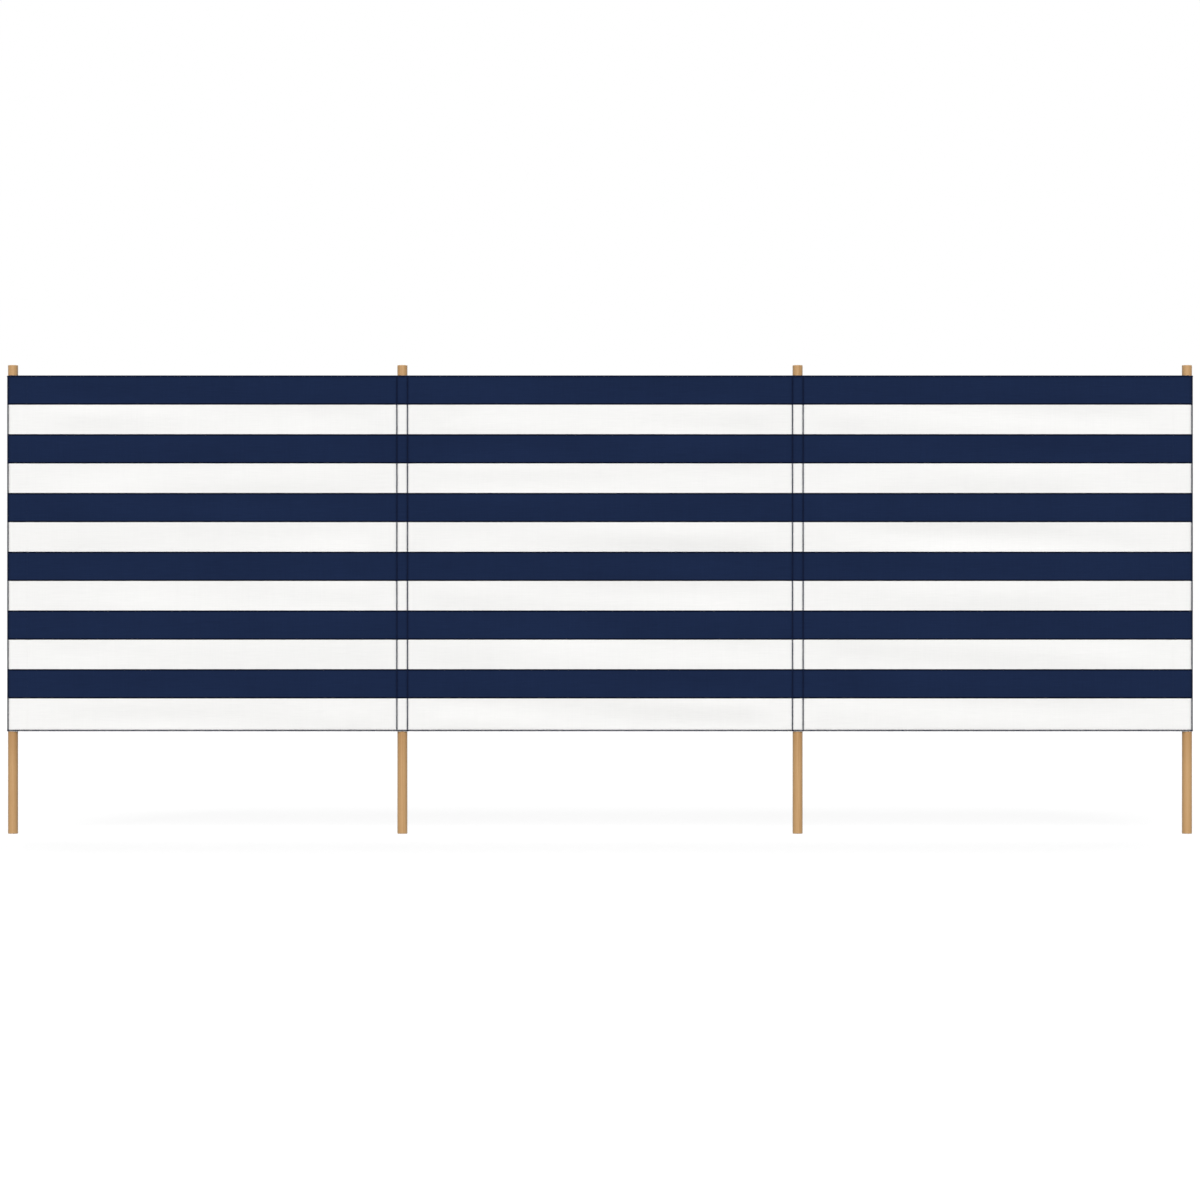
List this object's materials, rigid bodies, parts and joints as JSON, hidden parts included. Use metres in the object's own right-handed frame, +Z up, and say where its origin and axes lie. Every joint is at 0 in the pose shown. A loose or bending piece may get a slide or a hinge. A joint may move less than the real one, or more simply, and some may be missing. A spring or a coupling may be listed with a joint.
{
  "type": "beach windbreak",
  "caption": "Long striped canvas windbreak in equal bays, held upright by round wooden poles in sewn pockets, with bare pole ends below to push into sand.",
  "frame": {"origin": "centre of the flat foot of the left end pole, seen from the front", "axes": "+X along the windbreak to the right end pole, +Y to the back, where the poles stand behind the canvas, +Z up along the poles"},
  "size_m": [4, 0.0394, 1.58],
  "materials": {
    "pole_wood": "satin",
    "canvas_navy": "matte",
    "canvas_white": "matte"
  },
  "bodies": {
    "root": {"pole_1": "pole_wood", "pole_2": "pole_wood", "pole_3": "pole_wood", "pole_4": "pole_wood", "bay_1_navy_stripes": "canvas_navy", "bay_1_white_stripes": "canvas_white", "bay_1_top_hem": "canvas_navy", "bay_1_bottom_hem": "canvas_white", "bay_2_navy_stripes": "canvas_navy", "bay_2_white_stripes": "canvas_white", "bay_2_top_hem": "canvas_navy", "bay_2_bottom_hem": "canvas_white", "bay_3_navy_stripes": "canvas_navy", "bay_3_white_stripes": "canvas_white", "bay_3_top_hem": "canvas_navy", "bay_3_bottom_hem": "canvas_white", "left_end_pocket_navy": "canvas_navy", "left_end_pocket_white": "canvas_white", "right_end_pocket_navy": "canvas_navy", "right_end_pocket_white": "canvas_white", "end_top_hems": "canvas_navy", "end_bottom_hems": "canvas_white", "inner_pocket_2_navy": "canvas_navy", "inner_pocket_2_white": "canvas_white", "inner_pocket_3_navy": "canvas_navy", "inner_pocket_3_white": "canvas_white"}
  },
  "joints": []
}
